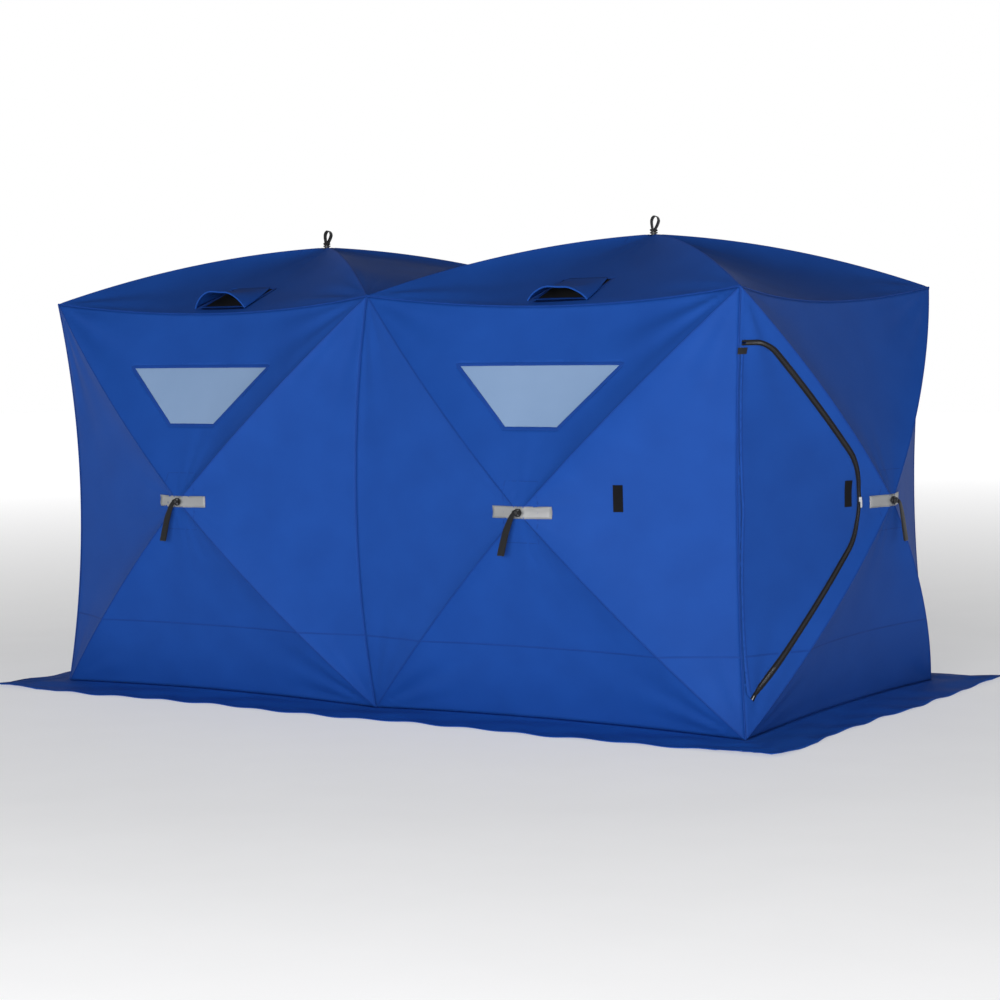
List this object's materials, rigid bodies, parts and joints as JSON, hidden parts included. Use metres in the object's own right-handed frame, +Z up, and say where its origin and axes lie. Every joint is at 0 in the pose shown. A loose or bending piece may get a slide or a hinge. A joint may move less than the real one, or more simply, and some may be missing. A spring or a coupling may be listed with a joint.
{
  "type": "pop-up ice fishing shelter",
  "caption": "Two-bay pop-up ice fishing shelter: cloth walls and roofs pushed out by hubs with crossed poles, zipped end doors, clear windows, roof vents and a ground skirt.",
  "frame": {"origin": "on the ground at the middle of the footprint", "axes": "+X along the shelter's length, front walls face -Y, +Z up"},
  "size_m": [4.108, 2.308, 2.1234],
  "materials": {
    "shelter_cloth": "coated oxford weave",
    "hub_plastic": "moulded nylon",
    "glass_fibre_rod": "pultruded glass fibre",
    "webbing": "woven",
    "clear_vinyl": "flexible clear sheet",
    "zip_tape": "coil zip on woven tape",
    "zip_metal": "plated",
    "vent_mesh": "fine mesh",
    "reflective_strip": "retroreflective tape"
  },
  "bodies": {
    "shelter": {"front_left_wall": "shelter_cloth", "front_right_wall": "shelter_cloth", "back_left_wall": "shelter_cloth", "back_right_wall": "shelter_cloth", "left_end_wall": "shelter_cloth", "right_end_wall": "shelter_cloth", "left_roof": "shelter_cloth", "right_roof": "shelter_cloth", "window_panes": "clear_vinyl", "ground_skirt": "shelter_cloth"},
    "front_left_wall_hub": {"front_left_wall_hub": "hub_plastic"},
    "front_left_wall_pole_1": {"front_left_wall_pole_1": "glass_fibre_rod"},
    "front_left_wall_pole_2": {"front_left_wall_pole_2": "glass_fibre_rod"},
    "front_left_wall_pole_3": {"front_left_wall_pole_3": "glass_fibre_rod"},
    "front_left_wall_pole_4": {"front_left_wall_pole_4": "glass_fibre_rod"},
    "front_right_wall_hub": {"front_right_wall_hub": "hub_plastic"},
    "front_right_wall_pole_1": {"front_right_wall_pole_1": "glass_fibre_rod"},
    "front_right_wall_pole_2": {"front_right_wall_pole_2": "glass_fibre_rod"},
    "front_right_wall_pole_3": {"front_right_wall_pole_3": "glass_fibre_rod"},
    "front_right_wall_pole_4": {"front_right_wall_pole_4": "glass_fibre_rod"},
    "back_left_wall_hub": {"back_left_wall_hub": "hub_plastic"},
    "back_left_wall_pole_1": {"back_left_wall_pole_1": "glass_fibre_rod"},
    "back_left_wall_pole_2": {"back_left_wall_pole_2": "glass_fibre_rod"},
    "back_left_wall_pole_3": {"back_left_wall_pole_3": "glass_fibre_rod"},
    "back_left_wall_pole_4": {"back_left_wall_pole_4": "glass_fibre_rod"},
    "back_right_wall_hub": {"back_right_wall_hub": "hub_plastic"},
    "back_right_wall_pole_1": {"back_right_wall_pole_1": "glass_fibre_rod"},
    "back_right_wall_pole_2": {"back_right_wall_pole_2": "glass_fibre_rod"},
    "back_right_wall_pole_3": {"back_right_wall_pole_3": "glass_fibre_rod"},
    "back_right_wall_pole_4": {"back_right_wall_pole_4": "glass_fibre_rod"},
    "left_end_wall_hub": {"left_end_wall_hub": "hub_plastic"},
    "left_end_wall_pole_1": {"left_end_wall_pole_1": "glass_fibre_rod"},
    "left_end_wall_pole_2": {"left_end_wall_pole_2": "glass_fibre_rod"},
    "left_end_wall_pole_3": {"left_end_wall_pole_3": "glass_fibre_rod"},
    "left_end_wall_pole_4": {"left_end_wall_pole_4": "glass_fibre_rod"},
    "right_end_wall_hub": {"right_end_wall_hub": "hub_plastic"},
    "right_end_wall_pole_1": {"right_end_wall_pole_1": "glass_fibre_rod"},
    "right_end_wall_pole_2": {"right_end_wall_pole_2": "glass_fibre_rod"},
    "right_end_wall_pole_3": {"right_end_wall_pole_3": "glass_fibre_rod"},
    "right_end_wall_pole_4": {"right_end_wall_pole_4": "glass_fibre_rod"},
    "left_roof_hub": {"left_roof_hub": "hub_plastic"},
    "left_roof_pole_1": {"left_roof_pole_1": "glass_fibre_rod"},
    "left_roof_pole_2": {"left_roof_pole_2": "glass_fibre_rod"},
    "left_roof_pole_3": {"left_roof_pole_3": "glass_fibre_rod"},
    "left_roof_pole_4": {"left_roof_pole_4": "glass_fibre_rod"},
    "right_roof_hub": {"right_roof_hub": "hub_plastic"},
    "right_roof_pole_1": {"right_roof_pole_1": "glass_fibre_rod"},
    "right_roof_pole_2": {"right_roof_pole_2": "glass_fibre_rod"},
    "right_roof_pole_3": {"right_roof_pole_3": "glass_fibre_rod"},
    "right_roof_pole_4": {"right_roof_pole_4": "glass_fibre_rod"},
    "left_door_zip": {"left_door_zip": "zip_tape"},
    "left_door": {"left_door": "shelter_cloth"},
    "left_zip_slider": {"left_zip_slider": "zip_metal"},
    "right_door_zip": {"right_door_zip": "zip_tape"},
    "right_door": {"right_door": "shelter_cloth"},
    "right_zip_slider": {"right_zip_slider": "zip_metal"},
    "left_vent_screen": {"left_vent_screen": "vent_mesh"},
    "left_vent_hood": {"left_vent_hood": "shelter_cloth"},
    "right_vent_screen": {"right_vent_screen": "vent_mesh"},
    "right_vent_hood": {"right_vent_hood": "shelter_cloth"}
  },
  "joints": [
    {"name": "front_left_wall_pop", "type": "slide", "parent": "shelter", "child": "front_left_wall_hub", "axis": [0, 1, 0], "range_m": [0, 0.396], "deforming": ["front_left_wall"]},
    {"name": "front_left_wall_pole_1_turn", "type": "hinge", "parent": "front_left_wall_hub", "child": "front_left_wall_pole_1", "pos_m": [-0.87296, -1.092, 0.9277], "axis": [0.7027, 0, -0.7114], "range_deg": [-0.5, 19.95]},
    {"name": "front_left_wall_pole_2_turn", "type": "hinge", "parent": "front_left_wall_hub", "child": "front_left_wall_pole_2", "pos_m": [-0.92704, -1.092, 0.9277], "axis": [0.7027, 0, 0.7114], "range_deg": [-0.5, 19.95]},
    {"name": "front_left_wall_pole_3_turn", "type": "hinge", "parent": "front_left_wall_hub", "child": "front_left_wall_pole_3", "pos_m": [-0.92704, -1.092, 0.8743], "axis": [-0.7027, 0, 0.7114], "range_deg": [-0.5, 19.95]},
    {"name": "front_left_wall_pole_4_turn", "type": "hinge", "parent": "front_left_wall_hub", "child": "front_left_wall_pole_4", "pos_m": [-0.87296, -1.092, 0.8743], "axis": [-0.7027, 0, -0.7114], "range_deg": [-0.5, 19.95]},
    {"name": "front_right_wall_pop", "type": "slide", "parent": "shelter", "child": "front_right_wall_hub", "axis": [0, 1, 0], "range_m": [0, 0.396], "deforming": ["front_right_wall"]},
    {"name": "front_right_wall_pole_1_turn", "type": "hinge", "parent": "front_right_wall_hub", "child": "front_right_wall_pole_1", "pos_m": [0.92704, -1.092, 0.9277], "axis": [0.7027, 0, -0.7114], "range_deg": [-0.5, 19.95]},
    {"name": "front_right_wall_pole_2_turn", "type": "hinge", "parent": "front_right_wall_hub", "child": "front_right_wall_pole_2", "pos_m": [0.87296, -1.092, 0.9277], "axis": [0.7027, 0, 0.7114], "range_deg": [-0.5, 19.95]},
    {"name": "front_right_wall_pole_3_turn", "type": "hinge", "parent": "front_right_wall_hub", "child": "front_right_wall_pole_3", "pos_m": [0.87296, -1.092, 0.8743], "axis": [-0.7027, 0, 0.7114], "range_deg": [-0.5, 19.95]},
    {"name": "front_right_wall_pole_4_turn", "type": "hinge", "parent": "front_right_wall_hub", "child": "front_right_wall_pole_4", "pos_m": [0.92704, -1.092, 0.8743], "axis": [-0.7027, 0, -0.7114], "range_deg": [-0.5, 19.95]},
    {"name": "back_left_wall_pop", "type": "slide", "parent": "shelter", "child": "back_left_wall_hub", "axis": [0, -1, 0], "range_m": [0, 0.396], "deforming": ["back_left_wall"]},
    {"name": "back_left_wall_pole_1_turn", "type": "hinge", "parent": "back_left_wall_hub", "child": "back_left_wall_pole_1", "pos_m": [-0.92704, 1.092, 0.9277], "axis": [-0.7027, 0, -0.7114], "range_deg": [-0.5, 19.95]},
    {"name": "back_left_wall_pole_2_turn", "type": "hinge", "parent": "back_left_wall_hub", "child": "back_left_wall_pole_2", "pos_m": [-0.87296, 1.092, 0.9277], "axis": [-0.7027, 0, 0.7114], "range_deg": [-0.5, 19.95]},
    {"name": "back_left_wall_pole_3_turn", "type": "hinge", "parent": "back_left_wall_hub", "child": "back_left_wall_pole_3", "pos_m": [-0.87296, 1.092, 0.8743], "axis": [0.7027, 0, 0.7114], "range_deg": [-0.5, 19.95]},
    {"name": "back_left_wall_pole_4_turn", "type": "hinge", "parent": "back_left_wall_hub", "child": "back_left_wall_pole_4", "pos_m": [-0.92704, 1.092, 0.8743], "axis": [0.7027, 0, -0.7114], "range_deg": [-0.5, 19.95]},
    {"name": "back_right_wall_pop", "type": "slide", "parent": "shelter", "child": "back_right_wall_hub", "axis": [0, -1, 0], "range_m": [0, 0.396], "deforming": ["back_right_wall"]},
    {"name": "back_right_wall_pole_1_turn", "type": "hinge", "parent": "back_right_wall_hub", "child": "back_right_wall_pole_1", "pos_m": [0.87296, 1.092, 0.9277], "axis": [-0.7027, 0, -0.7114], "range_deg": [-0.5, 19.95]},
    {"name": "back_right_wall_pole_2_turn", "type": "hinge", "parent": "back_right_wall_hub", "child": "back_right_wall_pole_2", "pos_m": [0.92704, 1.092, 0.9277], "axis": [-0.7027, 0, 0.7114], "range_deg": [-0.5, 19.95]},
    {"name": "back_right_wall_pole_3_turn", "type": "hinge", "parent": "back_right_wall_hub", "child": "back_right_wall_pole_3", "pos_m": [0.92704, 1.092, 0.8743], "axis": [0.7027, 0, 0.7114], "range_deg": [-0.5, 19.95]},
    {"name": "back_right_wall_pole_4_turn", "type": "hinge", "parent": "back_right_wall_hub", "child": "back_right_wall_pole_4", "pos_m": [0.87296, 1.092, 0.8743], "axis": [0.7027, 0, -0.7114], "range_deg": [-0.5, 19.95]},
    {"name": "left_end_wall_pop", "type": "slide", "parent": "shelter", "child": "left_end_wall_hub", "axis": [1, 0, 0], "range_m": [0, 0.396], "deforming": ["left_end_wall"]},
    {"name": "left_end_wall_pole_1_turn", "type": "hinge", "parent": "left_end_wall_hub", "child": "left_end_wall_pole_1", "pos_m": [-1.992, -0.02704, 0.9277], "axis": [0, -0.7027, -0.7114], "range_deg": [-0.5, 19.95]},
    {"name": "left_end_wall_pole_2_turn", "type": "hinge", "parent": "left_end_wall_hub", "child": "left_end_wall_pole_2", "pos_m": [-1.992, 0.02704, 0.9277], "axis": [0, -0.7027, 0.7114], "range_deg": [-0.5, 19.95]},
    {"name": "left_end_wall_pole_3_turn", "type": "hinge", "parent": "left_end_wall_hub", "child": "left_end_wall_pole_3", "pos_m": [-1.992, 0.02704, 0.8743], "axis": [0, 0.7027, 0.7114], "range_deg": [-0.5, 19.95]},
    {"name": "left_end_wall_pole_4_turn", "type": "hinge", "parent": "left_end_wall_hub", "child": "left_end_wall_pole_4", "pos_m": [-1.992, -0.02704, 0.8743], "axis": [0, 0.7027, -0.7114], "range_deg": [-0.5, 19.95]},
    {"name": "right_end_wall_pop", "type": "slide", "parent": "shelter", "child": "right_end_wall_hub", "axis": [-1, 0, 0], "range_m": [0, 0.396], "deforming": ["right_end_wall"]},
    {"name": "right_end_wall_pole_1_turn", "type": "hinge", "parent": "right_end_wall_hub", "child": "right_end_wall_pole_1", "pos_m": [1.992, 0.02704, 0.9277], "axis": [0, 0.7027, -0.7114], "range_deg": [-0.5, 19.95]},
    {"name": "right_end_wall_pole_2_turn", "type": "hinge", "parent": "right_end_wall_hub", "child": "right_end_wall_pole_2", "pos_m": [1.992, -0.02704, 0.9277], "axis": [0, 0.7027, 0.7114], "range_deg": [-0.5, 19.95]},
    {"name": "right_end_wall_pole_3_turn", "type": "hinge", "parent": "right_end_wall_hub", "child": "right_end_wall_pole_3", "pos_m": [1.992, -0.02704, 0.8743], "axis": [0, -0.7027, 0.7114], "range_deg": [-0.5, 19.95]},
    {"name": "right_end_wall_pole_4_turn", "type": "hinge", "parent": "right_end_wall_hub", "child": "right_end_wall_pole_4", "pos_m": [1.992, 0.02704, 0.8743], "axis": [0, -0.7027, -0.7114], "range_deg": [-0.5, 19.95]},
    {"name": "left_roof_pop", "type": "slide", "parent": "shelter", "child": "left_roof_hub", "axis": [0, 0, -1], "range_m": [0, 0.446], "deforming": ["left_roof"]},
    {"name": "left_roof_pole_1_turn", "type": "hinge", "parent": "left_roof_hub", "child": "left_roof_pole_1", "pos_m": [-0.87313, 0.02687, 2.007], "axis": [0.7071, -0.7071, 0], "range_deg": [-0.5, 22.2]},
    {"name": "left_roof_pole_2_turn", "type": "hinge", "parent": "left_roof_hub", "child": "left_roof_pole_2", "pos_m": [-0.92687, 0.02687, 2.007], "axis": [0.7071, 0.7071, 0], "range_deg": [-0.5, 22.2]},
    {"name": "left_roof_pole_3_turn", "type": "hinge", "parent": "left_roof_hub", "child": "left_roof_pole_3", "pos_m": [-0.92687, -0.02687, 2.007], "axis": [-0.7071, 0.7071, 0], "range_deg": [-0.5, 22.2]},
    {"name": "left_roof_pole_4_turn", "type": "hinge", "parent": "left_roof_hub", "child": "left_roof_pole_4", "pos_m": [-0.87313, -0.02687, 2.007], "axis": [-0.7071, -0.7071, 0], "range_deg": [-0.5, 22.2]},
    {"name": "right_roof_pop", "type": "slide", "parent": "shelter", "child": "right_roof_hub", "axis": [0, 0, -1], "range_m": [0, 0.446], "deforming": ["right_roof"]},
    {"name": "right_roof_pole_1_turn", "type": "hinge", "parent": "right_roof_hub", "child": "right_roof_pole_1", "pos_m": [0.92687, 0.02687, 2.007], "axis": [0.7071, -0.7071, 0], "range_deg": [-0.5, 22.2]},
    {"name": "right_roof_pole_2_turn", "type": "hinge", "parent": "right_roof_hub", "child": "right_roof_pole_2", "pos_m": [0.87313, 0.02687, 2.007], "axis": [0.7071, 0.7071, 0], "range_deg": [-0.5, 22.2]},
    {"name": "right_roof_pole_3_turn", "type": "hinge", "parent": "right_roof_hub", "child": "right_roof_pole_3", "pos_m": [0.87313, -0.02687, 2.007], "axis": [-0.7071, 0.7071, 0], "range_deg": [-0.5, 22.2]},
    {"name": "right_roof_pole_4_turn", "type": "hinge", "parent": "right_roof_hub", "child": "right_roof_pole_4", "pos_m": [0.92687, -0.02687, 2.007], "axis": [-0.7071, -0.7071, 0], "range_deg": [-0.5, 22.2]},
    {"name": "left_door_side_turn", "type": "hinge", "parent": "shelter", "child": "left_door_zip", "pos_m": [-1.8, 0.9, 0.901], "axis": [0, 0, 1], "range_deg": [-0.5, 25.29]},
    {"name": "left_door_swing", "type": "hinge", "parent": "left_door_zip", "child": "left_door", "pos_m": [-1.7725, 0.8475, 0.901], "axis": [0, 0, -1], "range_deg": [0, 120]},
    {"name": "left_zip_run", "type": "hinge", "parent": "left_door_zip", "child": "left_zip_slider", "pos_m": [-1.87359, 0.475, 0.916], "axis": [-0.9528, 0.3037, 0], "range_deg": [-9, 9]},
    {"name": "right_door_side_turn", "type": "hinge", "parent": "shelter", "child": "right_door_zip", "pos_m": [1.8, -0.9, 0.901], "axis": [0, 0, 1], "range_deg": [-0.5, 25.29]},
    {"name": "right_door_swing", "type": "hinge", "parent": "right_door_zip", "child": "right_door", "pos_m": [1.7725, -0.8475, 0.901], "axis": [0, 0, -1], "range_deg": [0, 120]},
    {"name": "right_zip_run", "type": "hinge", "parent": "right_door_zip", "child": "right_zip_slider", "pos_m": [1.87359, -0.475, 0.916], "axis": [0.9528, -0.3037, 0], "range_deg": [-9, 9]},
    {"name": "left_vent_seat_turn", "type": "hinge", "parent": "shelter", "child": "left_vent_screen", "pos_m": [-0.9, -0.9, 1.79], "axis": [-1, 0, 0], "range_deg": [-0.5, 28.31]},
    {"name": "left_vent_hood_tilt", "type": "hinge", "parent": "left_vent_screen", "child": "left_vent_hood", "pos_m": [-0.9, -0.5569, 1.84614], "axis": [1, 0, 0], "range_deg": [0, 17]},
    {"name": "right_vent_seat_turn", "type": "hinge", "parent": "shelter", "child": "right_vent_screen", "pos_m": [0.9, -0.9, 1.79], "axis": [-1, 0, 0], "range_deg": [-0.5, 28.31]},
    {"name": "right_vent_hood_tilt", "type": "hinge", "parent": "right_vent_screen", "child": "right_vent_hood", "pos_m": [0.9, -0.5569, 1.84614], "axis": [1, 0, 0], "range_deg": [0, 17]}
  ],
  "couplings": [
    {"joint": "front_left_wall_pole_1_turn", "follows": "front_left_wall_pop", "rad_per_m": 0.85707},
    {"joint": "front_left_wall_pole_2_turn", "follows": "front_left_wall_pop", "rad_per_m": 0.85707},
    {"joint": "front_left_wall_pole_3_turn", "follows": "front_left_wall_pop", "rad_per_m": 0.85707},
    {"joint": "front_left_wall_pole_4_turn", "follows": "front_left_wall_pop", "rad_per_m": 0.85707},
    {"joint": "front_right_wall_pole_1_turn", "follows": "front_right_wall_pop", "rad_per_m": 0.85707},
    {"joint": "front_right_wall_pole_2_turn", "follows": "front_right_wall_pop", "rad_per_m": 0.85707},
    {"joint": "front_right_wall_pole_3_turn", "follows": "front_right_wall_pop", "rad_per_m": 0.85707},
    {"joint": "front_right_wall_pole_4_turn", "follows": "front_right_wall_pop", "rad_per_m": 0.85707},
    {"joint": "back_left_wall_pole_1_turn", "follows": "back_left_wall_pop", "rad_per_m": 0.85707},
    {"joint": "back_left_wall_pole_2_turn", "follows": "back_left_wall_pop", "rad_per_m": 0.85707},
    {"joint": "back_left_wall_pole_3_turn", "follows": "back_left_wall_pop", "rad_per_m": 0.85707},
    {"joint": "back_left_wall_pole_4_turn", "follows": "back_left_wall_pop", "rad_per_m": 0.85707},
    {"joint": "back_right_wall_pole_1_turn", "follows": "back_right_wall_pop", "rad_per_m": 0.85707},
    {"joint": "back_right_wall_pole_2_turn", "follows": "back_right_wall_pop", "rad_per_m": 0.85707},
    {"joint": "back_right_wall_pole_3_turn", "follows": "back_right_wall_pop", "rad_per_m": 0.85707},
    {"joint": "back_right_wall_pole_4_turn", "follows": "back_right_wall_pop", "rad_per_m": 0.85707},
    {"joint": "left_end_wall_pole_1_turn", "follows": "left_end_wall_pop", "rad_per_m": 0.85707},
    {"joint": "left_end_wall_pole_2_turn", "follows": "left_end_wall_pop", "rad_per_m": 0.85707},
    {"joint": "left_end_wall_pole_3_turn", "follows": "left_end_wall_pop", "rad_per_m": 0.85707},
    {"joint": "left_end_wall_pole_4_turn", "follows": "left_end_wall_pop", "rad_per_m": 0.85707},
    {"joint": "right_end_wall_pole_1_turn", "follows": "right_end_wall_pop", "rad_per_m": 0.85707},
    {"joint": "right_end_wall_pole_2_turn", "follows": "right_end_wall_pop", "rad_per_m": 0.85707},
    {"joint": "right_end_wall_pole_3_turn", "follows": "right_end_wall_pop", "rad_per_m": 0.85707},
    {"joint": "right_end_wall_pole_4_turn", "follows": "right_end_wall_pop", "rad_per_m": 0.85707},
    {"joint": "left_roof_pole_1_turn", "follows": "left_roof_pop", "rad_per_m": 0.84933},
    {"joint": "left_roof_pole_2_turn", "follows": "left_roof_pop", "rad_per_m": 0.84933},
    {"joint": "left_roof_pole_3_turn", "follows": "left_roof_pop", "rad_per_m": 0.84933},
    {"joint": "left_roof_pole_4_turn", "follows": "left_roof_pop", "rad_per_m": 0.84933},
    {"joint": "right_roof_pole_1_turn", "follows": "right_roof_pop", "rad_per_m": 0.84933},
    {"joint": "right_roof_pole_2_turn", "follows": "right_roof_pop", "rad_per_m": 0.84933},
    {"joint": "right_roof_pole_3_turn", "follows": "right_roof_pop", "rad_per_m": 0.84933},
    {"joint": "right_roof_pole_4_turn", "follows": "right_roof_pop", "rad_per_m": 0.84933},
    {"joint": "left_door_side_turn", "follows": "left_end_wall_pop", "rad_per_m": 1.0928},
    {"joint": "right_door_side_turn", "follows": "right_end_wall_pop", "rad_per_m": 1.0928},
    {"joint": "left_vent_seat_turn", "follows": "left_roof_pop", "rad_per_m": 1.0883},
    {"joint": "right_vent_seat_turn", "follows": "right_roof_pop", "rad_per_m": 1.0883}
  ]
}
